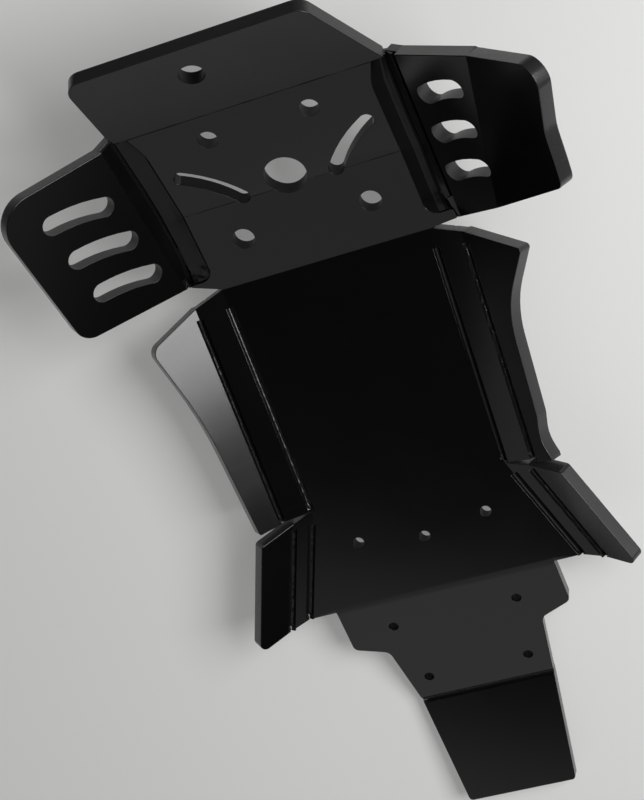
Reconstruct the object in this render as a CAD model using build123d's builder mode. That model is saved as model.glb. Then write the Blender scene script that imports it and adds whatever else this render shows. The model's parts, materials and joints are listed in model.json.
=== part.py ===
from build123d import *
import os

# Skid plate of a motorcycle: one plastic sheet, cut flat, milled along its fold lines and
# folded warm. Millimetres. The frame is the belly's: +Z is the inner side, +Y the front,
# and the origin is the centre bolt hole on the belly's inner face.
sheet = 10.0

# Belly: half widths and stations of its corners
front_y = 209.0
waist_y = 38.0
rear_y = -41.0
front_half = 75.0
waist_half = 71.0
rear_half = 101.5
notch_relief = 2.0

# Front: toe, ramp and lip, each folded up from the one before
toe_length = 60.0
ramp_length = 71.0
lip_length = 61.8
toe_fold = 15.0
ramp_fold = 10.0
lip_fold = 14.0
lip_left = 98.0
lip_left_foot = 95.0
lip_right = 64.0
lip_corner = 11.0

# Tail: linkage guard folded down, and its flap folded up again
tail_length = 94.0
tail_half = 81.0
tail_neck = 57.5
tail_step = 36.0
tail_step_drop = 9.0
tail_corner = 5.0
neck_corner = 7.0
tail_fold = -13.0
flap_length = 85.5
flap_half = 50.0
flap_end_half = 40.5
flap_corner = 3.0
flap_fold = 17.0

# Side folds of the belly: a narrow chine, then a wall
chine_width = 22.0
chine_slant = 6.0
chine_fold = 17.0
wall_fold = 18.0
rear_chine_width = 12.8
rear_chine_slant = 10.0
rear_chine_fold = 10.0
rear_wall_width = 25.0
rear_wall_slant = 13.0
rear_wall_front_corner = 3.0
rear_wall_back_corner = 5.0
rear_wall_fold = 30.0

# Outer edges of the front walls: along from the front, out from the fold, corner radius
left_wall = [(20, 39.8, 8), (80, 24.6, 300), (172, 18.6, 2)]
right_wall = [
    (20.5, 47, 2.5), (62, 18.5, 75), (139, 15.3, 20), (156.5, 11, 25), (169, 16.4, 3), (172, 16.4, 0)
]

# Wings beside toe and ramp: the crease, the notch below, and the edges past the crease
crease_toe_half = 87.5
crease_lip_half = 92.5
wing_fold = 38.0
left_notch = 8.0
right_notch = 2.0
wing_overlap = 3.5
left_wing = [(73, 12, 0), (89.7, 93, 22), (-27.4, 94.3, 14)]
right_wing = [(75.5, 10, 3), (87.4, 71.4, 0), (-38, 54, 0)]
outer_wing = [(60, 70, 10), (75, 67.5, 20), (99, 62.5, 40), (152, 65, 12)]
outer_wing_fold = 12.0

# Milled folds: round grooves by their radius, and the wide pockets along the creases
side_groove = 2.2
side_groove_start = 14.0
rear_groove = 2.4
rear_groove_start = 4.0
flap_groove = 2.0
pocket_depth = 3.0
pocket_width = 10.5
pocket_top_width = 8.0
pocket_shoulder = (78.4, 55.0)
pocket_shoulder_corner = 30.0
pocket_low = 9.4
pocket_corner = 9.0
wing_pocket_top = 10.0
wing_pocket_low = 2.5
wing_pocket_corner = 2.0
web_half = 89.0

# Round holes: radius and place on their panel
bolt_radius = 4.0
bolt_x = 47.0
bolt_y = 7.0
tail_bolt_radius = 3.5
tail_bolts = [(46, 23), (37.5, 74)]
toe_hole_radius = 7.5
toe_hole = (45.3, 32)
ramp_hole_radius = 6.5
ramp_hole = (35.2, 52.4)
drain_radius = 14.2
drain_up = 8.7
lip_hole_radius = 8.5
lip_hole = (-19.9, 37.8)

# Curved slots: middle line by its ends and its rise, width, and the pitch of the wing slots
ramp_slot_width = 10.0
ramp_slot = [(65, 30), (46.5, 17), (33, 2)]
wing_slot_width = 13.8
wing_slot_pitch = 31.5
wing_slot_rise = 1.6
left_slot = [(-22, 29.5), (-7, 64)]
right_slot = [(-15.5, 26), (-5, 52)]


def folded(plane, at, along, angle):
    """Plane of a panel folded up by angle about a line of another panel, its x along the line."""
    start = plane.from_local_coords(Vector(*at, 0))
    end = plane.from_local_coords(Vector(*at, 0) + Vector(*along, 0))
    normal = plane.z_dir.rotate(Axis((0, 0, 0), end - start), angle)
    return Plane(origin=start, x_dir=end - start, z_dir=normal)


def across(plane, along):
    """Plane across a fold line at a place on it, its x towards the outer side of the sheet."""
    origin = plane.from_local_coords(Vector(along, 0, 0))
    return Plane(origin=origin, x_dir=plane.z_dir * -1, z_dir=plane.x_dir)


def panel(plane, outline, side=1):
    """Flat stretch of sheet below the plane. Each outline point has a corner radius."""
    with BuildSketch(plane) as face:
        with BuildLine():
            points = [(side * x, y) for x, y, r in outline]
            FilletPolyline(*points, radius=[r for x, y, r in outline], close=True)
        make_face()
    extrude(face.sketch, amount=-sheet)


def both_halves(outline):
    """Closed outline from its right half, mirrored on the centre line."""
    return outline + [(-x, y, r) for x, y, r in reversed(outline)]


def bend(plane, ends, angle):
    """Round outer side of the fold that carries the plane, between two places on its line."""
    with BuildSketch(across(plane, min(ends))) as sector:
        with BuildLine():
            arc = CenterArc((0, 0), sheet, -angle, angle)
            Polyline(arc @ 1, (0, 0), arc @ 0)
        make_face()
    extrude(sector.sketch, amount=max(ends) - min(ends))


def groove(plane, ends, radius):
    """Round groove milled along a fold on the inner side."""
    with BuildSketch(across(plane, min(ends))) as tool:
        Circle(radius)
    extrude(tool.sketch, amount=max(ends) - min(ends), mode=Mode.SUBTRACT)


def pocket(plane, outline, side=1):
    """Flat floored pocket milled into a panel's inner side."""
    with BuildSketch(plane) as face:
        with BuildLine():
            points = [(side * x, y) for x, y, r in outline]
            FilletPolyline(*points, radius=[r for x, y, r in outline], close=True)
        make_face()
    extrude(face.sketch, amount=-pocket_depth, mode=Mode.SUBTRACT)


# Panels on the centre line
belly = Plane.XY
toe = folded(belly, (0, front_y), (1, 0), toe_fold)
ramp = folded(toe, (0, toe_length), (1, 0), ramp_fold)
lip = folded(ramp, (0, ramp_length), (1, 0), lip_fold)
tail = folded(belly, (0, rear_y), (-1, 0), tail_fold)
flap = folded(tail, (0, tail_length), (1, 0), flap_fold)

# Wings hinge on the ramp's crease. The plane of a wing also cuts the toe, in a second crease
# that runs down and out to the notch.
crease = Vector(crease_lip_half - crease_toe_half, ramp_length)
wing = {}
toe_crease = {}
crease_end = {}
for side, notch in ((-1, left_notch), (1, right_notch)):
    wing[side] = folded(ramp, (side * crease_toe_half, 0), (-crease.X, -side * crease.Y), wing_fold)
    normal = wing[side].z_dir
    flare = normal.dot(toe.y_dir) / (side * normal.X)
    drop = toe_length - notch
    crease_end[side] = Vector(side * (crease_toe_half + flare * drop), notch, 0)
    low = toe.from_local_coords(crease_end[side])
    toe_crease[side] = Plane(
        origin=wing[side].origin,
        x_dir=(low - wing[side].origin) * side,
        z_dir=normal,
    )

# Outer corner of the sheet where toe, ramp and wing meet in one point
with BuildPart() as knuckle:
    with Locations(wing[1].origin):
        Sphere(sheet)
    for face in (toe, ramp, wing[1]):
        split(bisect_by=face, keep=Keep.BOTTOM)

with BuildPart() as skid_plate:
    # Belly
    corners = [(front_half, front_y, 0), (waist_half, waist_y, 0), (rear_half, rear_y, 0)]
    panel(belly, both_halves(corners))

    # Toe, ramp and lip
    right_end = (crease_end[1].X, crease_end[1].Y, 0)
    left_end = (crease_end[-1].X, crease_end[-1].Y, 0)
    toe_low = [left_end, (-front_half, 0, 0), (front_half, 0, 0), right_end]
    panel(toe, toe_low + [(crease_toe_half, toe_length, 0), (-crease_toe_half, toe_length, 0)])
    bend(toe, (-front_half, front_half), toe_fold)
    panel(ramp, both_halves([(crease_toe_half, 0, 0), (crease_lip_half, ramp_length, 0)]))
    bend(ramp, (-crease_toe_half, crease_toe_half), ramp_fold)
    lip_top = [(lip_right, lip_length, lip_corner), (-lip_left, lip_length, lip_corner)]
    panel(lip, [(-lip_left_foot, 0, 0), (crease_lip_half, 0, 0)] + lip_top)
    bend(lip, (-crease_lip_half, crease_lip_half), lip_fold)

    # Tail and flap
    step = [(tail_half, tail_step, tail_corner)]
    step += [(tail_neck, tail_step + tail_step_drop, neck_corner)]
    panel(tail, both_halves([(tail_half, 0, 0)] + step + [(flap_half, tail_length, 0)]))
    panel(flap, both_halves([(flap_half, 0, 0), (flap_end_half, flap_length, flap_corner)]))
    bend(flap, (-flap_half, flap_half), flap_fold)

    # Chines and walls: along is measured from the front, or from the waist
    milled = [(flap, (-2 * flap_half, 2 * flap_half), flap_groove)]
    for side, edge in ((-1, left_wall), (1, right_wall)):
        run = Vector(side * (waist_half - front_half), waist_y - front_y)
        last = run.length
        chine = folded(belly, (side * front_half, front_y), (side * run.X, side * run.Y), chine_fold)
        wall = folded(chine, (0, chine_width), (1, 0), wall_fold)
        far = [(chine_slant, chine_width, 0), (last, chine_width, 0)]
        panel(chine, [(0, 0, 0)] + far + [(last, 0, 0)], side)
        panel(wall, [(chine_slant, 0, 0)] + edge + [(last, 0, 0)], side)
        bend(chine, (0, side * last), chine_fold)
        bend(wall, (side * chine_slant, side * last), wall_fold)
        milled += [(fold, (side * side_groove_start, side * last), side_groove) for fold in (chine, wall)]

        run = Vector(side * (rear_half - waist_half), rear_y - waist_y)
        last = run.length
        start = rear_chine_slant
        end = last + rear_chine_slant
        chine = folded(belly, (side * waist_half, waist_y), (side * run.X, side * run.Y), rear_chine_fold)
        wall = folded(chine, (0, rear_chine_width), (1, 0), rear_wall_fold)
        far = [(start, rear_chine_width, 0), (end, rear_chine_width, 0)]
        panel(chine, [(0, 0, 0)] + far + [(last, 0, 0)], side)
        far = [(start + rear_wall_slant, rear_wall_width, rear_wall_front_corner)]
        far += [(end + rear_wall_slant, rear_wall_width, rear_wall_back_corner)]
        panel(wall, [(start, 0, 0)] + far + [(end, 0, 0)], side)
        bend(chine, (0, side * last), rear_chine_fold)
        bend(wall, (side * start, side * end), rear_wall_fold)
        milled.append((chine, (side * start, side * last), rear_groove))
        milled.append((wall, (side * (start + rear_groove_start), side * end), rear_groove))

    # Wings: along is measured up the crease from the toe, out from the crease. They reach a
    # little past the lip's fold, so that no gap opens between lip and wing.
    for side, edge in ((-1, left_wing), (1, right_wing)):
        low = wing[side].to_local_coords(toe.from_local_coords(crease_end[side]))
        hinge = [(-side * low.X, low.Y, 0), (0, 0, 0), (crease.length + wing_overlap, 0, 0)]
        panel(wing[side], hinge + edge, -side)
        bend(wing[side], (0, -side * crease.length), wing_fold)
        bend(toe_crease[side], (0, side * low.length), toe.z_dir.get_angle(wing[side].z_dir))
    add(knuckle.part)
    mirror(knuckle.part, about=Plane.YZ)

    # Outer part of the right wing, folded once more
    (top_u, top_w, r), (low_u, low_w, r) = right_wing[1:]
    outer = folded(wing[1], (-low_u, low_w), (top_u - low_u, low_w - top_w), outer_wing_fold)
    outer_length = Vector(top_u - low_u, top_w - low_w).length
    panel(outer, [(outer_length, 0, 0), (0, 0, 0)] + outer_wing, -1)
    bend(outer, (-outer_length, 0), outer_wing_fold)

    # Reliefs at the inner ends of the notches
    with BuildSketch(belly):
        with Locations(*[(side * x, y) for x, y, r in corners[:2] for side in (-1, 1)]):
            Circle(notch_relief)
    extrude(amount=2 * sheet, both=True, mode=Mode.SUBTRACT)

    # Round grooves along the narrow folds
    for plane, ends, radius in milled:
        groove(plane, ends, radius)

    # Wide pockets along the creases, from the lip's fold down to the toe and open at the wing's
    # top edge: a floor in each panel, and a round root between the floors
    for side in (-1, 1):
        inner = crease_toe_half - pocket_width
        share = (toe_length - pocket_low) / (toe_length - crease_end[side].Y)
        low = wing[side].to_local_coords(toe.from_local_coords(crease_end[side])) * share
        root = Vector(crease_toe_half, toe_length) * (1 - share)
        root += Vector(abs(crease_end[side].X), crease_end[side].Y) * share
        end = [(crease_lip_half, ramp_length, 0), (crease_lip_half - pocket_top_width, ramp_length, 0)]
        end.append((*pocket_shoulder, pocket_shoulder_corner))
        pocket(ramp, [(inner, 0, 0), (crease_toe_half, 0, 0)] + end, side)
        end = [(root.X, root.Y, 0), (inner, root.Y, pocket_corner)]
        pocket(toe, [(inner, toe_length, 0), (crease_toe_half, toe_length, 0)] + end, side)
        top = crease.length + 2 * wing_overlap
        rim = Vector(-side * low.X, low.Y + wing_pocket_low)
        end = [(top, 0, 0), (top, wing_pocket_top, 0)]
        end += [(rim.X, rim.Y, wing_pocket_corner), (-side * low.X, low.Y, 0)]
        pocket(wing[side], [(0, 0, 0)] + end, -side)
        groove(ramp, (side * inner, side * crease_toe_half), pocket_depth)
        groove(wing[side], (0, -side * crease.length), pocket_depth)
        groove(toe_crease[side], (0, side * low.length), pocket_depth)

        # Web that fills the toe's end of the crease, up to the wing
        head = wing[side].origin - toe.z_dir * pocket_depth
        foot = toe.from_local_coords(Vector(side * web_half, root.Y, -pocket_depth))
        back = toe.from_local_coords(Vector(side * root.X, root.Y, -2 * pocket_depth))
        crest = wing[side].from_local_coords(Vector(-side * rim.X, rim.Y, 0))
        base = Plane(origin=foot, x_dir=back - foot, z_dir=(back - foot).cross(crest - foot))
        with BuildSketch(base) as web:
            with BuildLine():
                points = [base.to_local_coords(p) for p in (foot, back, crest)]
                Polyline(*[(p.X, p.Y) for p in points], close=True)
            make_face()
        loft([web.sketch.face(), Vertex(*head)], ruled=True)

    # Round holes
    with Locations(belly):
        with Locations((0, 0), (-bolt_x, bolt_y), (bolt_x, bolt_y)):
            Hole(bolt_radius, 2 * sheet)
    with Locations(tail):
        with Locations(*[(side * x, y) for x, y in tail_bolts for side in (-1, 1)]):
            Hole(tail_bolt_radius, 2 * sheet)
    with Locations(toe):
        with Locations(toe_hole, (-toe_hole[0], toe_hole[1])):
            Hole(toe_hole_radius, 2 * sheet)
    with Locations(ramp.offset(sheet / 4)):
        with Locations(ramp_hole, (-ramp_hole[0], ramp_hole[1])):
            Hole(ramp_hole_radius, 2 * sheet)
        with Locations((0, drain_up)):
            Hole(drain_radius, 3 * sheet)
    with Locations(lip):
        with Locations(lip_hole):
            Hole(lip_hole_radius, 2 * sheet)

    # Curved slots of the ramp and the wings
    for side, ends in ((-1, left_slot), (1, right_slot)):
        with BuildSketch(ramp):
            with BuildLine(mode=Mode.PRIVATE) as middle:
                ThreePointArc(*[(side * x, y) for x, y in ramp_slot])
            SlotArc(middle.edge(), ramp_slot_width)
        extrude(amount=1.5 * sheet, both=True, mode=Mode.SUBTRACT)
        first = Vector(*ends[0])
        chord = Vector(*ends[1]) - first
        top = first + chord * 0.5 + Vector(chord.Y, -chord.X).normalized() * wing_slot_rise
        with BuildSketch(wing[side]):
            with BuildLine(mode=Mode.PRIVATE) as middle:
                ThreePointArc(*[(-side * p.X, p.Y) for p in (first, top, first + chord)])
            with Locations(*[(-side * wing_slot_pitch * k, 0) for k in range(3)]):
                SlotArc(middle.edge(), wing_slot_width)
        extrude(amount=1.5 * sheet, both=True, mode=Mode.SUBTRACT)

os.makedirs("parts", exist_ok=True)
skid_plate.part.label = "skid_plate"
export_step(skid_plate.part, "parts/skid_plate.step")
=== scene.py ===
import json
import math
import bmesh
import bpy
import numpy as np
from mathutils import Matrix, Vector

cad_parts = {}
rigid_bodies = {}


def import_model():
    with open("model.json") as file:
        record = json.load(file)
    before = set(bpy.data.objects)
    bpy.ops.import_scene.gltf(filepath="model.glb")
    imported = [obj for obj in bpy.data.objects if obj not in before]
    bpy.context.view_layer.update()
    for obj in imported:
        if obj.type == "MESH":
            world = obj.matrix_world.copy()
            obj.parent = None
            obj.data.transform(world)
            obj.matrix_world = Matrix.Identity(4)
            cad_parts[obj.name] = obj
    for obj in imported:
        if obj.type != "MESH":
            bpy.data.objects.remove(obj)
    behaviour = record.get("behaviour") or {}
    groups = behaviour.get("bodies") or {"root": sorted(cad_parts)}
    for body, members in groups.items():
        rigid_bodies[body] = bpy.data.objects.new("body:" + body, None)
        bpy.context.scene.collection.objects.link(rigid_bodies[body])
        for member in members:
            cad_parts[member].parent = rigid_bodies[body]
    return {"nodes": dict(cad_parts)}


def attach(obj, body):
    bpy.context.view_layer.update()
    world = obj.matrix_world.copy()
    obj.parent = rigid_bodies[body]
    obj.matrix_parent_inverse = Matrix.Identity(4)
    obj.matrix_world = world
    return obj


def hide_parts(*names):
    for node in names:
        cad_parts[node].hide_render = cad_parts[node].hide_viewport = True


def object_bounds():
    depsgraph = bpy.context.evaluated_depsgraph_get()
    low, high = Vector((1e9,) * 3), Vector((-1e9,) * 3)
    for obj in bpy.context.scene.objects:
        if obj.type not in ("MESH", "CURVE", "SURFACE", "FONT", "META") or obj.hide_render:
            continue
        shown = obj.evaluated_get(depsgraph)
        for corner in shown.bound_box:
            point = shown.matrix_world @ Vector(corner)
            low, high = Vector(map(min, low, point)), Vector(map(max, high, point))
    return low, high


for leftover in list(bpy.data.objects):
    bpy.data.objects.remove(leftover)
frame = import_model()
bpy.context.view_layer.update()
cad_low, cad_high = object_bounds()

# The sheet: one black HDPE sheet, 10 mm thick, sawn and milled flat, then heated and folded.
# Its panels are flat, so each face is known by the panel it belongs to: calendered skin,
# trimmed edge, groove floor, bored wall or milled vent.
mm = 0.001
sheet = 10 * mm


def fold(panel, at, along, angle):
    """Panel folded up about a line of another one: the normal turned about the line by angle.

    A panel is four rows: origin, x along its fold line, y away from it, and the inner normal.
    """
    origin, x, y, normal = panel
    line = (along[0] * x + along[1] * y) / math.hypot(*along)
    turn = math.radians(angle)
    turned = normal * math.cos(turn) + np.cross(line, normal) * math.sin(turn)
    start = origin + (at[0] * x + at[1] * y) * mm
    return np.array([start, line, np.cross(turned, line), turned])


# Panels in a row from lip to flap: places of their folds in millimetres, angles in degrees
toe_fold, tail_fold = 209, -41
toe_length, ramp_length, tail_length = 60, 71, 94
toe_angle, ramp_angle, lip_angle, tail_angle, flap_angle = 15, 10, 14, -13, 17
belly = np.vstack([np.zeros(3), np.eye(3)])
toe = fold(belly, (0, toe_fold), (1, 0), toe_angle)
ramp = fold(toe, (0, toe_length), (1, 0), ramp_angle)
lip = fold(ramp, (0, ramp_length), (1, 0), lip_angle)
tail = fold(belly, (0, tail_fold), (-1, 0), tail_angle)
flap = fold(tail, (0, tail_length), (1, 0), flap_angle)
panels = {"belly": belly, "toe": toe, "ramp": ramp, "lip": lip, "tail": tail, "flap": flap}

# Panels at the sides: corners of the belly, runs of the fold lines, widths and angles
front_corner, rear_corner, rear_run = (75, toe_fold), (71, 38), (30.5, -79)
chine_width, rear_chine_width = 22, 12.8
chine_angle, wall_angle, rear_chine_angle, rear_wall_angle = 17, 18, 10, 30
crease_half, crease_lean, wing_angle = 87.5, 5, 38
outer_start, outer_run, outer_angle = (38, 54), (125.4, -17.4), 12
for side, name in ((-1, "left"), (1, "right")):
    front_at, rear_at = ((side * x, y) for x, y in (front_corner, rear_corner))
    chine_run = (rear_corner[0] - front_corner[0], side * (rear_corner[1] - front_corner[1]))
    chine = fold(belly, front_at, chine_run, chine_angle)
    rear_chine = fold(belly, rear_at, (rear_run[0], side * rear_run[1]), rear_chine_angle)
    crease_run = (-crease_lean, -side * ramp_length)
    panels[name + "_chine"] = chine
    panels[name + "_wall"] = fold(chine, (0, chine_width), (1, 0), wall_angle)
    panels[name + "_rear_chine"] = rear_chine
    panels[name + "_rear_wall"] = fold(rear_chine, (0, rear_chine_width), (1, 0), rear_wall_angle)
    panels[name + "_wing"] = fold(ramp, (side * crease_half, 0), crease_run, wing_angle)
panels["outer_wing"] = fold(panels["right_wing"], outer_start, outer_run, outer_angle)
plane_origin = np.array([p[0] for p in panels.values()])
plane_line = np.array([p[1] for p in panels.values()])
plane_normal = np.array([p[3] for p in panels.values()])

# One mesh of large flat faces: the solid's triangles are welded and joined again
weld_gap, straight_angle = 0.002 * mm, 0.003
plate_mesh = frame["nodes"]["skid_plate"].data.copy()
plate_mesh.name = "skid_plate_skin"
work = bmesh.new()
work.from_mesh(plate_mesh)
bmesh.ops.remove_doubles(work, verts=work.verts, dist=weld_gap)
bmesh.ops.dissolve_limit(work, angle_limit=straight_angle, verts=work.verts, edges=work.edges)
work.to_mesh(plate_mesh)
work.free()

# Faces that lie on a panel's inner side, on its outer side, or on the floor of a pocket
slack, parallel, pocket_depth = 0.05 * mm, 0.9999, 3
count = len(plate_mesh.polygons)
centre = np.empty(count * 3)
normal = np.empty(count * 3)
corners = np.empty(count, np.int32)
plate_mesh.polygons.foreach_get("center", centre)
plate_mesh.polygons.foreach_get("normal", normal)
plate_mesh.polygons.foreach_get("loop_total", corners)
centre, normal = centre.reshape(-1, 3), normal.reshape(-1, 3)
offset = centre[:, None] - plane_origin
depth = np.einsum("fpk,pk->fp", offset, plane_normal)
facing = normal @ plane_normal.T
inner_skin = (np.abs(depth) < slack) & (facing > parallel)
outer_skin = (np.abs(depth + sheet) < slack) & (facing < -parallel)
pocket_floor = (np.abs(depth + pocket_depth * mm) < slack) & (facing > parallel)

# Distance of each face from each fold line, and how far it looks away from the line
groove_reach, bend_slack = 3.2 * mm, 0.25 * mm
offset = offset - np.einsum("fpk,pk->fp", offset, plane_line)[..., None] * plane_line
reach = np.linalg.norm(offset, axis=2)
radial = np.einsum("fpk,fk->fp", offset, normal) / np.maximum(reach, 1e-9)
in_groove = (reach < groove_reach) & (radial < -0.9)
on_bend = (np.abs(reach - sheet) < bend_slack) & (radial > 0.97)

# Webs at the toe's end of the creases: faces near the line from the knuckle to the crease's end
crease_end, web_reach = (95.26, 9.4), 12 * mm
web = np.zeros(count, bool)
for side, name in ((-1, "left"), (1, "right")):
    head = panels[name + "_wing"][0]
    run = toe[0] + (side * crease_end[0] * toe[1] + crease_end[1] * toe[2]) * mm - head
    share = np.clip((centre - head) @ run / (run @ run), 0, 1)
    apart = np.linalg.norm(centre - head - share[:, None] * run, axis=1)
    web |= (apart < web_reach) & (normal @ toe[3] > 0.3)
web &= ~(inner_skin | outer_skin).any(1)

# Walls of the pockets: shallow faces beside the creases, no deeper than the pocket floors
pocket_middle, pocket_spread, pocket_start = 88 * mm, 22 * mm, 215 * mm
creased = [list(panels).index(name) for name in ("toe", "ramp", "left_wing", "right_wing")]
below = depth[:, creased]
shallow = ((below > -(pocket_depth + 0.1) * mm) & (below < -0.02 * mm)).any(1)
beside = np.abs(np.abs(centre[:, 0]) - pocket_middle) < pocket_spread
beside &= (centre[:, 1] > pocket_start) & ~(inner_skin | outer_skin).any(1)

SKIN, EDGE, GROOVE, BORE, VENT = range(5)
finish = np.full(count, EDGE, np.int32)
finish[(inner_skin | outer_skin | on_bend).any(1)] = SKIN
finish[(pocket_floor | in_groove).any(1) | web | (shallow & beside)] = GROOVE
plate_mesh.polygons.foreach_set("use_smooth", np.ones(count, bool))

# Openings: rings of cut faces too short to be the sheet's border. The drilled ones are given a
# darker colour than the wings' vents as painted shade inside the holes, and so are the small
# reliefs at the belly's corners.
opening_size, vents_from, relief_reach = 120 * mm, 90 * mm, 2.1 * mm
loop_edge = np.empty(len(plate_mesh.loops), np.int32)
plate_mesh.loops.foreach_get("edge_index", loop_edge)
loop_face = np.repeat(np.arange(count), corners)
one, other = loop_face[np.argsort(loop_edge, kind="stable")].reshape(-1, 2).T
cut = finish == EDGE
joined = cut[one] & cut[other]
ring, before = np.arange(count), None
while before is None or (ring != before).any():
    before = ring.copy()
    lowest = np.minimum(ring[one[joined]], ring[other[joined]])
    np.minimum.at(ring, one[joined], lowest)
    np.minimum.at(ring, other[joined], lowest)
top, bottom = np.full((count, 3), -np.inf), np.full((count, 3), np.inf)
np.maximum.at(top, ring, centre)
np.minimum.at(bottom, ring, centre)
opening = cut & (np.linalg.norm(top - bottom, axis=1)[ring] < opening_size)
finish[opening] = np.where(np.abs(centre[opening, 0]) < vents_from, BORE, VENT)
relief_wall = np.zeros(count, bool)
for x, y in (front_corner, rear_corner):
    apart = np.hypot(np.abs(centre[:, 0]) - x * mm, centre[:, 1] - y * mm)
    relief_wall |= cut & (apart < relief_reach)
finish[relief_wall] = BORE


def new_node(owner, kind, inputs=None, **settings):
    """Shader node added to a material or world: its settings first, then its input values."""
    node = owner.node_tree.nodes.new("ShaderNode" + kind)
    for key, value in settings.items():
        setattr(node, key, value)
    for key, value in (inputs or {}).items():
        node.inputs[key].default_value = value
    return node


def wire(owner, *joints):
    """Links of a material or world: each joint is a node, its output, a node and its input."""
    for source, output, target, entry in joints:
        owner.node_tree.links.new(source.outputs[output], target.inputs[entry])


def plastic(name, colour, rough, grain, relief, scuffs, gloss=0.5, layers=1):
    """Black plastic: roughness wanders between two values, with scuffs, on a fine grain.

    Grain is the noise scale per metre, relief its depth in millimetres, scuffs the share that
    thin straight scratches add to the roughness, and gloss the level of the clear reflection.
    Layers is how much finer the grain is upwards, as cutter rings are.
    """
    material = bpy.data.materials.new(name)
    material.use_nodes = True
    shader = material.node_tree.nodes["Principled BSDF"]
    shader.inputs["Base Color"].default_value = (*colour, 1)
    shader.inputs["Specular IOR Level"].default_value = gloss
    place = new_node(material, "TexCoord")
    drift = new_node(material, "TexNoise", {"Scale": 24, "Detail": 6})
    bounds = {"From Min": 0.3, "From Max": 0.7, "To Min": rough[0], "To Max": rough[1]}
    span = new_node(material, "MapRange", bounds)
    wire(material, (place, "Object", drift, "Vector"), (drift, "Fac", span, "Value"))
    roughness = (span, "Result")
    for turn in (0.5, 1.9):
        hairline = {"Rotation": (0.2, 0.1, turn), "Scale": (9, 700, 9)}
        stretch = new_node(material, "Mapping", hairline)
        hair = new_node(material, "TexNoise", {"Scale": 1, "Detail": 1})
        bounds = {"From Min": 0.7, "From Max": 0.78, "To Max": scuffs}
        keep = new_node(material, "MapRange", bounds)
        total = new_node(material, "Math")
        wire(
            material,
            (place, "Object", stretch, "Vector"),
            (stretch, "Vector", hair, "Vector"),
            (hair, "Fac", keep, "Value"),
            (*roughness, total, 0),
            (keep, "Result", total, 1),
        )
        roughness = (total, "Value")
    flatten = new_node(material, "Mapping", {"Scale": (1, 1, layers)})
    fine = new_node(material, "TexNoise", {"Scale": grain, "Detail": 3})
    bump = new_node(material, "Bump", {"Distance": relief * mm})
    wire(
        material,
        (*roughness, shader, "Roughness"),
        (place, "Object", flatten, "Vector"),
        (flatten, "Vector", fine, "Vector"),
        (fine, "Fac", bump, "Height"),
        (bump, "Normal", shader, "Normal"),
    )
    return material


skin_finish = plastic("calendered_skin", (0.0021, 0.0021, 0.0022), (0.15, 0.18), 900, 0.012, 0.03)
edge_finish = plastic("trimmed_edge", (0.022, 0.022, 0.0226), (0.22, 0.3), 1500, 0.03, 0.05)
groove_finish = plastic("groove_floor", (0.004, 0.004, 0.0042), (0.2, 0.3), 1100, 0.06, 0.05)
# bored walls and reliefs: colour darkened as painted shade inside the holes
bore_shade_finish = plastic("bored_wall_painted_shade", (0.003, 0.003, 0.0031), (0.3, 0.42), 220, 0.15, 0.05, 0.15, 6)
vent_finish = plastic("milled_vent", (0.05, 0.05, 0.0513), (0.36, 0.48), 1500, 0.12, 0.05)
plate_mesh.materials.clear()
for material in (skin_finish, edge_finish, groove_finish, bore_shade_finish, vent_finish):
    plate_mesh.materials.append(material)
plate_mesh.polygons.foreach_set("material_index", finish)

# Broken edges: half a millimetre where faces meet sharply, less round the openings, and a soft
# turn on the front fold and on the tail's fold. The ramp's fold, which openings cross, stays crisp.
edge_break, opening_break, widest_break = 0.5, 0.15, 3.0
corner_turn, crisp_turn = math.radians(30), math.radians(4)
angle = np.arccos(np.clip((normal[one] * normal[other]).sum(1), -1, 1))
panel_of = np.where(inner_skin.any(1), inner_skin.argmax(1), -1)
fold_line = (panel_of[one] >= 0) & (panel_of[other] >= 0) & (panel_of[one] != panel_of[other])
weight = np.where((angle > corner_turn) | fold_line, edge_break / widest_break, 0.0)
weight[(angle > corner_turn) & (opening[one] | opening[other])] = opening_break / widest_break
weight[relief_wall[one] | relief_wall[other]] = 0
panel_names = list(panels)
for first, second, soft in (("belly", "toe", 1.5), ("belly", "tail", 3.0), ("toe", "ramp", 0.0)):
    pair = [panel_names.index(first), panel_names.index(second)]
    both = np.isin(panel_of[one], pair) & np.isin(panel_of[other], pair)
    weight[fold_line & both] = soft / widest_break
breaks = plate_mesh.attributes.new("bevel_weight_edge", "FLOAT", "EDGE")
breaks.data.foreach_set("value", weight.astype(np.float32))
flat = (inner_skin | outer_skin | pocket_floor).any(1) | web
crisp = flat[one] & flat[other] & (angle > crisp_turn) & (weight == 0)
sharp = plate_mesh.attributes.new("sharp_edge", "BOOLEAN", "EDGE")
sharp.data.foreach_set("value", crisp)

plate = bpy.data.objects.new("skid_plate_skin", plate_mesh)
bpy.context.scene.collection.objects.link(plate)
round_over = plate.modifiers.new("edge_break", "BEVEL")
round_over.limit_method = "WEIGHT"
round_over.width = widest_break * mm
round_over.segments = 2
round_over.use_clamp_overlap = False
round_over.loop_slide = False
even = plate.modifiers.new("even_shading", "WEIGHTED_NORMAL")
even.weight = 50
even.keep_sharp = True
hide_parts("skid_plate")
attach(plate, "root")

# Milled folds: a ball cutter thins the sheet along each narrow fold, and the warm bend leaves
# the groove a little gritty, with a torn lip. A thin bed lies in each one. The beds in the right
# side's grooves and in the left wall's groove are coloured darker and duller, as painted shade in
# the closed folds.


def wander(shape, along, across, seed):
    """Smooth random field of spread 1: white noise blurred by a Gaussian in both directions."""
    field = np.random.default_rng(seed).standard_normal(shape)
    fu = np.fft.fftfreq(shape[0])[:, None] * along
    fv = np.fft.fftfreq(shape[1])[None] * across
    field = np.fft.ifft2(np.fft.fft2(field) * np.exp(-19.7 * (fu**2 + fv**2))).real
    return field / field.std()


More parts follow.
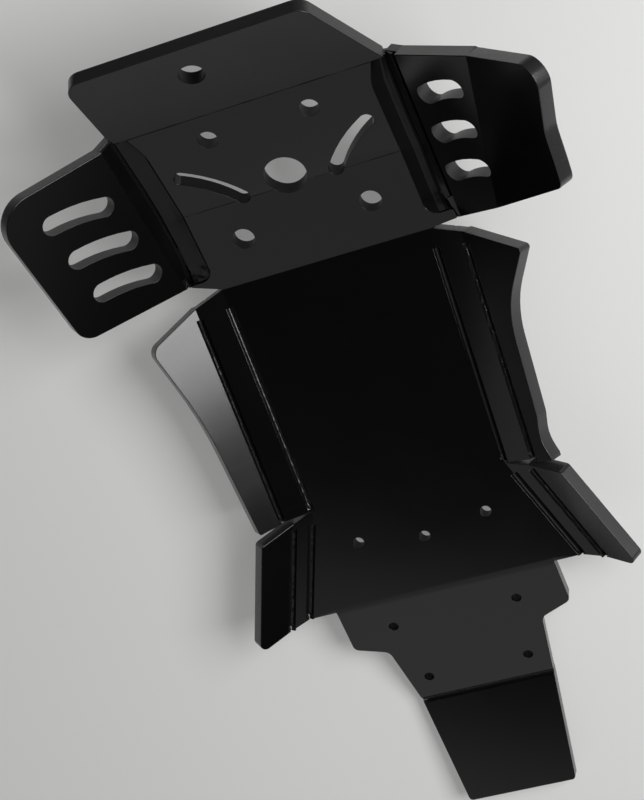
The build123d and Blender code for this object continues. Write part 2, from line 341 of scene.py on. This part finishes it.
def close_over(name, rings, *finishes, band=(0, 0)):
    """Closed skin over rings of points: ring k joins ring k+1, and the end rings are capped.

    The strips from the band's first column to its last take the second finish.
    """
    n, m = rings.shape[:2]
    row = np.arange(n - 1)[:, None] * m
    here = np.arange(m)[None]
    after = (here + 1) % m
    quads = np.stack([row + here, row + after, row + m + after, row + m + here], -1)
    ends = [list(range(m))[::-1], list(range(n * m - m, n * m))]
    mesh = bpy.data.meshes.new(name)
    mesh.from_pydata(rings.reshape(-1, 3).tolist(), [], quads.reshape(-1, 4).tolist() + ends)
    work = bmesh.new()
    work.from_mesh(mesh)
    bmesh.ops.recalc_face_normals(work, faces=work.faces)
    work.to_mesh(mesh)
    work.free()
    mesh.polygons.foreach_set("use_smooth", np.ones(len(mesh.polygons), bool))
    mesh.set_sharp_from_angle(angle=math.radians(50))
    for finish in finishes:
        mesh.materials.append(finish)
    banded = np.tile((np.arange(m) >= band[0]) & (np.arange(m) < band[1]), n - 1)
    mesh.polygons.foreach_set("material_index", np.append(banded, [0, 0]).astype(np.int32))
    piece = bpy.data.objects.new(name, mesh)
    bpy.context.scene.collection.objects.link(piece)
    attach(piece, "root")
    return piece


def groove_bed(name, panel, carrier, ends, radius, grit, seed, finish):
    """Bed of a fold groove: an arc of the groove's radius, less random grit, along the fold line.

    The arc runs from the carrier's face under the fold to the panel's, and shrinks to a third
    over the last 3 mm, where the cutter is lifted out. Grit is its first and last depth in mm.
    """
    step, columns, run_out = 0.7, 13, 3
    origin, line, _, normal = panel
    inwards, down = -np.cross(carrier[3], line), -carrier[3]
    turn = math.pi + math.acos(carrier[3] @ normal)
    along = np.linspace(*ends, int(abs(ends[1] - ends[0]) / step)) * mm
    rows = len(along)
    grit = np.linspace(*grit, rows)[:, None]
    depth = radius - 0.1 - grit * np.clip(wander((rows, columns), 1.6, 1.5, seed), -1, 2)
    to_end = np.clip(np.abs(along[:, None] - along[-1]) / (run_out * mm), 0, 1)
    depth = depth * (0.33 + 0.67 * to_end)
    depth[:, [0, -1]] = radius + 0.15
    torn = 0.03 + 0.4 * grit * np.clip(wander((rows, 2), 3, 0.3, seed + 1), 0, 2)
    back = np.linspace(turn - 0.3, 0.3, 5)
    phi = np.concatenate([np.linspace(0, turn, columns), back])
    depth = np.hstack([depth, np.full((rows, len(back)), radius + 0.9)]) * mm
    spoke = np.cos(phi)[:, None] * inwards + np.sin(phi)[:, None] * down
    rings = origin + along[:, None, None] * line + depth[..., None] * spoke
    rings[:, 0] += torn[:, :1] * mm * carrier[3]
    rings[:, columns - 1] += torn[:, 1:] * mm * normal
    return close_over(name, rings, finish)


# darker, duller groove bed: painted shade in the right side's grooves and the left wall's groove
groove_shade_finish = plastic("groove_painted_shade", (0.0015, 0.0015, 0.0016), (0.42, 0.52), 1100, 0.05, 0.03, 0.13)
for side, name, groove_or_painted_shade, fine in (
    (-1, "left", groove_finish, (0.015, 0.1)),
    (1, "right", groove_shade_finish, (0.03, 0.03)),
):
    chine, rear_chine = panels[name + "_chine"], panels[name + "_rear_chine"]
    seed = 30 + side * 10
    for part, carrier, start, end, radius, grit, surface in (
        ("_chine", belly, 14.3, 168.8, 2.2, fine, groove_or_painted_shade),
        ("_wall", chine, 14.3, 168.8, 2.2, (0.12, 0.1), groove_shade_finish),
        ("_rear_chine", belly, 10.3, 84.1, 2.4, (0.05, 0.05), groove_or_painted_shade),
        ("_rear_wall", rear_chine, 14.3, 93.9, 2.4, (0.1, 0.1), groove_or_painted_shade),
    ):
        panel, ends = panels[name + part], (side * start, side * end)
        groove_bed(name + part + "_groove", panel, carrier, ends, radius, grit, seed, surface)
        seed += 2
groove_bed("flap_groove", flap, tail, (-49.5, 49.5), 2.0, (0.08, 0.08), 60, groove_finish)

# Crease beds: in the wide pockets the heat slumps the thinned plastic. It lies proud of the milled
# floor as two beds with a dark kerf between them, a bead along the root, and lumps at the toe.
# The left wing bed and the right toe bed are mostly a darker copy of the slumped finish, a painted
# shade, with a band of the plain slumped finish left lighter.
slump_finish = plastic(
    "slumped_floor", (0.0022, 0.0022, 0.0023), (0.2, 0.27), 700, 0.05, 0.03, gloss=0.32
)
# darker copy of the slumped finish: painted shade on parts of the crease beds
shade_finish = plastic(
    "painted_shade_floor", (0.0012, 0.0012, 0.0013), (0.26, 0.36), 700, 0.05, 0.03, gloss=0.11
)
crease_length = math.hypot(crease_lean, ramp_length)
toe_run = toe_length - crease_end[1]
pocket_half, pocket_out, pocket_top = 77, 10, crease_length + 7
rim = (-49.16, 16.77)
root_line = ((-49, -31, -17, 9, 30, 71), (10.3, 6.7, 4.8, 2.0, 0.8, -0.2))
root_rise = 1.3
across = np.linspace(0, 1, 15)


def on(panel, along, out, lift):
    """Points of a panel: along and out from its fold line and lifted off its face, in mm."""
    origin, x, y, normal = panel
    along, out, lift = (v[..., None] * mm for v in np.broadcast_arrays(along, out, lift))
    return origin + along * x + out * y + lift * normal


def toe_bed(name, side, foot_gap, foot_lift, root_lift, ridge, lump, flush, finishes, band=(0, 0)):
    """Bed on ramp and toe: straight lines from the pocket's inner edge to the crease's root.

    Streaks and a ridge of Gaussian section lie on it, and lumps near the toe's end, where a flush
    bed rises to the toe's face. Lifts are heights above the panels in millimetres.
    """
    wing = panels[name + "_wing"]
    up = np.linspace(70.4, 0, 90)[:, None]
    down = np.linspace(59.2, 9.7, 64)[:, None]
    fall = np.vstack([0 * up, (toe_length - down) / toe_run])
    inner = np.interp(up, (0, 55, ramp_length), (pocket_half, 78.4, 84.5)) + foot_gap
    start = np.vstack([
        on(ramp, side * inner, up, foot_lift),
        on(toe, side * (pocket_half + foot_gap), down, foot_lift),
    ])
    upright = np.vstack([ramp[3:]] * len(up) + [toe[3:]] * len(down))[:, None]
    deep = start - upright * (3.5 + foot_lift) * mm
    u = np.vstack([up * crease_length / ramp_length, rim[0] * fall[len(up):]])
    w = np.interp(u, *root_line)
    d = root_lift + (root_rise - root_lift) * fall
    root = on(wing, -side * u, w, d)
    size = (len(fall), len(across))
    streaks = 0.05 * wander(size, 30, 1.5, 70 + side) + 0.04 * wander(size, 5, 2.5, 72 + side)
    ease = np.clip((fall - 0.72) / 0.2, 0, 1)
    lumps = ease * lump * wander(size, 2.2, 1.8, 74 + side)
    swell = ridge * np.exp(-(((across - 0.62) / 0.14) ** 2))
    bed = start + across[:, None] * (root - start)
    bed = bed + (streaks + lumps + swell)[..., None] * mm * toe[3]
    if flush:
        level = (bed - toe[0]) @ toe[3]
        bed = bed + (ease * np.maximum(-0.1 * mm - level, 0))[..., None] * toe[3]
    under = on(wing, -side * u, w, d - 2.6)
    rings = np.concatenate([bed, under, deep], 1)
    return close_over(name + "_crease_bed", rings, *finishes, band=band)


def wing_bed(
    name, side, root_lift, kerf, wall_gap, wall_lift, top_slant, bead, finishes, band=(0, 0)
):
    """Bed on the wing: an S-curve from the crease's root to the pocket's outer edge.

    Beyond the kerf a bead of Gaussian section follows the root, and the top is cut on a slant.
    """
    wing = panels[name + "_wing"]
    u = np.linspace(74.2, -42, 143)[:, None]
    w_root = np.interp(u, *root_line) + kerf
    d_root = root_lift - 0.2 + (root_rise - root_lift) * np.clip(u / rim[0], 0, 1)
    w_edge = pocket_out + (pocket_top - u) * (rim[1] - pocket_out) / (pocket_top - rim[0])
    w = w_root + across * (w_edge - wall_gap - w_root)
    d = d_root + across**2 * (3 - 2 * across) * (wall_lift - d_root)
    d = d + bead * np.exp(-(((w - w_root - 1.4) / 0.8) ** 2))
    d = d + 0.03 * wander(d.shape, 30, 1.5, 76 + side)
    u = u + top_slant * w * np.clip((u - 60) / 14, 0, 1)
    back = on(wing, -side * u[:, [-1, 0]], w[:, [-1, 0]], -3.6)
    rings = np.concatenate([on(wing, -side * u, w, d), back], 1)
    return close_over(name + "_wing_bed", rings, *finishes, band=band)


toe_bed(
    "left", -1, foot_gap=1.4, foot_lift=-1.9, root_lift=-0.5, ridge=0.0, lump=0.4, flush=False,
    finishes=[slump_finish],
)
wing_bed(
    "left", -1, root_lift=-0.5, kerf=0.9, wall_gap=-0.3, wall_lift=-0.3, top_slant=-0.14,
    bead=0.45, finishes=[shade_finish, slump_finish], band=(0, 3),
)
toe_bed(
    "right", 1, foot_gap=-0.3, foot_lift=-0.2, root_lift=-2.6, ridge=0.35, lump=0.1, flush=True,
    finishes=[shade_finish, slump_finish], band=(8, 12),
)
wing_bed(
    "right", 1, root_lift=-2.6, kerf=-0.3, wall_gap=3.2, wall_lift=-1.2, top_slant=0.08,
    bead=0.0, finishes=[slump_finish],
)

# Crease feet: past the pockets the toe's creases are not milled, and the soft plastic fills the
# corner between toe and wing right out to the notch.


def crease_foot(name, side, low, high, back_width, face_width):
    """Rod in the corner between toe and wing: a six-sided section carried down the crease.

    Its face carries the wing's plane down into the gap, and its back lies under the wing.
    """
    flank_depth, keel_depth = 5, 6.5
    wing_face = panels[name + "_wing"][3]
    down = np.linspace(high, low, 12)
    flare = (crease_end[0] - crease_half) / toe_run
    line = on(toe, side * (crease_half + flare * (toe_length - down)), down, -0.03)
    run = (line[-1] - line[0]) / np.linalg.norm(line[-1] - line[0])
    middle = (toe[3] + wing_face) / np.linalg.norm(toe[3] + wing_face)
    back = back_width * side * np.cross(toe[3], run)
    front = -face_width * side * np.cross(wing_face, run)
    upper = [back, 0 * back, front]
    lower = [front - flank_depth * wing_face, -keel_depth * middle, back - flank_depth * toe[3]]
    rings = line[:, None] + np.array(upper + lower) * mm
    return close_over(name + "_crease_foot", rings, skin_finish)


crease_foot("left", -1, low=8.1, high=10.2, back_width=0.5, face_width=6.0)
crease_foot("right", 1, low=2.1, high=18.0, back_width=3.2, face_width=3.2)

# Fold beads: where the warm sheet is folded without a groove, the inside of the fold squeezes up as
# a thin ridge, coloured dark and dull as a painted shade line. Holes and slots that cross the fold
# interrupt it.
# dark matt colour: painted shade line along the folds
fold_shade_finish = plastic("painted_fold_shade", (0.001, 0.001, 0.001), (0.35, 0.5), 1500, 0.04, 0.03, 0.2)


def fold_bead(name, panel, carrier, start, end, half):
    """Low ridge along a fold: a four-point profile, two feet on the panels, a crest and a keel."""
    foot, crest, keel, step = 0.04, 0.12, 0.6, 0.8
    origin, line, away, normal = panel
    inwards = -np.cross(carrier[3], line)
    middle = (carrier[3] + normal) / np.linalg.norm(carrier[3] + normal)
    along = np.linspace(start, end, int((end - start) / step)) * mm
    ripple = 1 + 0.25 * wander((len(along), 1), 4, 1, 100 + int(end))
    near, far = half * inwards + foot * carrier[3], half * away + foot * normal
    profile = np.array([near, crest * middle, far, -keel * middle]) * mm
    rings = origin + along[:, None, None] * line + ripple[..., None] * profile
    return close_over(name, rings, fold_shade_finish)


fold_bead("lip_fold_line", lip, ramp, -84, 84, 0.34)
for number, (start, end) in enumerate(((-76, -38.2), (-27.8, -11.8), (11.8, 27.8), (38.2, 76))):
    fold_bead(f"ramp_fold_line_{number}", ramp, toe, start, end, 0.22)

# Notch ends: at the inner end of each notch the soft plastic closes the drilled relief again, so
# that the notch runs out to a sharp point between the two flanges.


def notch_fill(name, side, middle, first, last, ahead, behind):
    """Sector of a disc in a relief: radius and angle, its top on the flanges ahead and behind.

    A flange is a pair of slopes, and the top is the height of the flange or of the belly.
    """
    core, rim_radius, thickness = 0.05, 2.02, 9.9
    angle = np.radians(np.linspace(first, last, 40))[:, None]
    radius = np.array([core, rim_radius, rim_radius, core])
    x, y = radius * np.cos(angle), radius * np.sin(angle)
    rise = np.where(y > 0, ahead[0] * x + ahead[1] * y, behind[0] * x + behind[1] * y)
    z = np.maximum(rise, 0) - 0.02 - np.array([0, 0, thickness, thickness])
    rings = np.stack([side * (middle[0] + x), middle[1] + y, z], -1) * mm
    return close_over(name, rings, skin_finish)


toe_slope = (0, math.tan(math.radians(toe_angle)))
chine_slope = (math.tan(math.radians(chine_angle)), 0)
rear_rise = math.tan(math.radians(rear_chine_angle))
rear_slope = (0.933 * rear_rise, 0.36 * rear_rise)
for side, name, toe_edge in ((-1, "left", 20.6), (1, "right", 5.2)):
    front, rear = name + "_front_notch_end", name + "_rear_notch_end"
    notch_fill(front, side, front_corner, toe_edge, 342.7, toe_slope, chine_slope)
    notch_fill(rear, side, rear_corner, -1.3, 343.1, chine_slope, rear_slope)

# The floor: a plain pale studio surface just under the lowest fold. Far off it runs into the
# backdrop. The plate itself sees it dark far off and glowing a little near by, so that the outer
# side can be read, and from below it is clear.
floor_half, floor_level = 6.0, cad_low.z - 0.2 * mm
floor_mesh = bpy.data.meshes.new("studio_floor")
quarters = ((-1, -1), (1, -1), (1, 1), (-1, 1))
floor_points = [(x * floor_half, y * floor_half, floor_level) for x, y in quarters]
floor_mesh.from_pydata(floor_points, [], [(0, 1, 2, 3)])
floor = bpy.data.objects.new("studio_floor", floor_mesh)
bpy.context.scene.collection.objects.link(floor)

backdrop, pale, dim = (0.7, 0.7, 0.695, 1), (0.8, 0.8, 0.79, 1), (0.05, 0.05, 0.05, 1)
far_range = {"From Min": 0.5, "From Max": 1.0, "To Min": 0.3}
near_range = {"From Min": 0.45, "From Max": 0.75}
glow_range = {**near_range, "To Min": 0.3, "To Max": 0}
paper = bpy.data.materials.new("pale_paper")
paper.use_nodes = True
paper_shader = paper.node_tree.nodes["Principled BSDF"]
paper_shader.inputs["Roughness"].default_value = 0.9
paper_shader.inputs["Specular IOR Level"].default_value = 0.1
paper_out = paper.node_tree.nodes["Material Output"]
glow = new_node(paper, "Emission", {"Color": backdrop})
spot = new_node(paper, "TexCoord")
gap = new_node(paper, "VectorMath", operation="LENGTH")
seen = new_node(paper, "LightPath")
fade, rim_fade, near_glow = (
    new_node(paper, "MapRange", bounds, interpolation_type="SMOOTHSTEP")
    for bounds in (far_range, near_range, glow_range)
)
unseen = new_node(paper, "Math", {0: 1}, operation="SUBTRACT")
dark, hidden, shown = (new_node(paper, "Math", operation="MULTIPLY") for _ in range(3))
both_shares = new_node(paper, "Math", operation="ADD")
paper_colour = new_node(paper, "Mix", {"A": pale, "B": dim}, data_type="RGBA")
far_mix = new_node(paper, "MixShader")
face = new_node(paper, "NewGeometry")
clear = new_node(paper, "BsdfTransparent")
below_mix = new_node(paper, "MixShader")
wire(
    paper,
    (spot, "Object", gap, 0),
    (gap, "Value", fade, "Value"),
    (gap, "Value", rim_fade, "Value"),
    (gap, "Value", near_glow, "Value"),
    (seen, "Is Camera Ray", unseen, 1),
    (unseen, "Value", dark, 0),
    (rim_fade, "Result", dark, 1),
    (dark, "Value", paper_colour, "Factor"),
    (paper_colour, "Result", paper_shader, "Base Color"),
    (near_glow, "Result", hidden, 0),
    (unseen, "Value", hidden, 1),
    (fade, "Result", shown, 0),
    (seen, "Is Camera Ray", shown, 1),
    (hidden, "Value", both_shares, 0),
    (shown, "Value", both_shares, 1),
    (both_shares, "Value", far_mix, "Fac"),
    (paper_shader, "BSDF", far_mix, 1),
    (glow, "Emission", far_mix, 2),
    (face, "Backfacing", below_mix, "Fac"),
    (far_mix, "Shader", below_mix, 1),
    (clear, "BSDF", below_mix, 2),
    (below_mix, "Shader", paper_out, "Surface"),
)
floor_mesh.materials.append(paper)

# Studio light: a bright softbox at the right, a large dim one behind on the left with a low
# strip under it, a card behind on the right and one over the tail, a low strip at the right, and
# a small fill beside the camera.


def softbox(name, place, aim, width, height, radiance):
    """Area lamp at a place, turned to an aim point; power is pi times area times radiance."""
    lamp = bpy.data.lights.new(name, "AREA")
    lamp.shape = "RECTANGLE"
    lamp.size = width
    lamp.size_y = height
    lamp.energy = math.pi * width * height * radiance
    holder = bpy.data.objects.new(name, lamp)
    bpy.context.scene.collection.objects.link(holder)
    back = np.subtract(place, aim)
    back = back / np.linalg.norm(back)
    sideways = np.cross((0, 0, 1), back)
    sideways = sideways / np.linalg.norm(sideways)
    turn = Matrix(np.column_stack([sideways, np.cross(back, sideways), back]).tolist()).to_4x4()
    turn.translation = place
    holder.matrix_world = turn
    holder.visible_camera = False


softbox("key_softbox", (1.0, 0.27, 1.0), (0, 0.16, 0), 0.98, 0.7, 9.3)
softbox("rear_softbox", (-0.745, -1.5, 1.14), (0, 0.1, 0), 2.6, 2.2, 0.4)
softbox("low_strip", (-1.223, -1.592, 0.26), (0, 0.1, 0), 3.68, 0.5, 0.16)
softbox("back_card", (1.27, -0.95, 1.03), (-0.17, 0.27, 0.1), 0.76, 0.5, 0.21)
softbox("tail_card", (-0.11, -0.46, 0.29), (0.02, -0.09, -0.02), 0.3, 0.2, 0.17)
softbox("side_strip", (1.7, -0.05, 0.28), (0.1, -0.05, 0.03), 0.9, 0.34, 1.8)
softbox("fill_softbox", (0.6, 1.1, 1.7), (0, 0.1, 0), 0.7, 0.7, 1.1)
surround = bpy.data.worlds.new("studio")
surround.use_nodes = True
room = surround.node_tree.nodes["Background"]
room.inputs["Color"].default_value = (0.016, 0.016, 0.0165, 1)
room_out = surround.node_tree.nodes["World Output"]
wall_paper = new_node(surround, "Background", {"Color": backdrop})
looking = new_node(surround, "LightPath")
room_mix = new_node(surround, "MixShader")
wire(
    surround,
    (looking, "Is Camera Ray", room_mix, "Fac"),
    (room, "Background", room_mix, 1),
    (wall_paper, "Background", room_mix, 2),
    (room_mix, "Shader", room_out, "Surface"),
)
bpy.context.scene.world = surround

# Camera: at the photograph's place, looking steeply down on the inner side of the plate.
sensor, focal_pixels, picture_height = 36, 2032.9, 800
lens = bpy.data.cameras.new("camera")
lens.sensor_width = sensor
lens.lens = sensor * focal_pixels / picture_height
camera = bpy.data.objects.new("camera", lens)
bpy.context.scene.collection.objects.link(camera)
camera.matrix_world = Matrix((
    (0.92336, 0.251748, 0.28988, 0.367439),
    (-0.333306, 0.900353, 0.27977, 0.504257),
    (-0.190562, -0.354947, 0.915259, 1.273161),
    (0, 0, 0, 1),
))
bpy.context.scene.camera = camera
bpy.context.scene.view_settings.view_transform = "Standard"

bpy.context.view_layer.update()
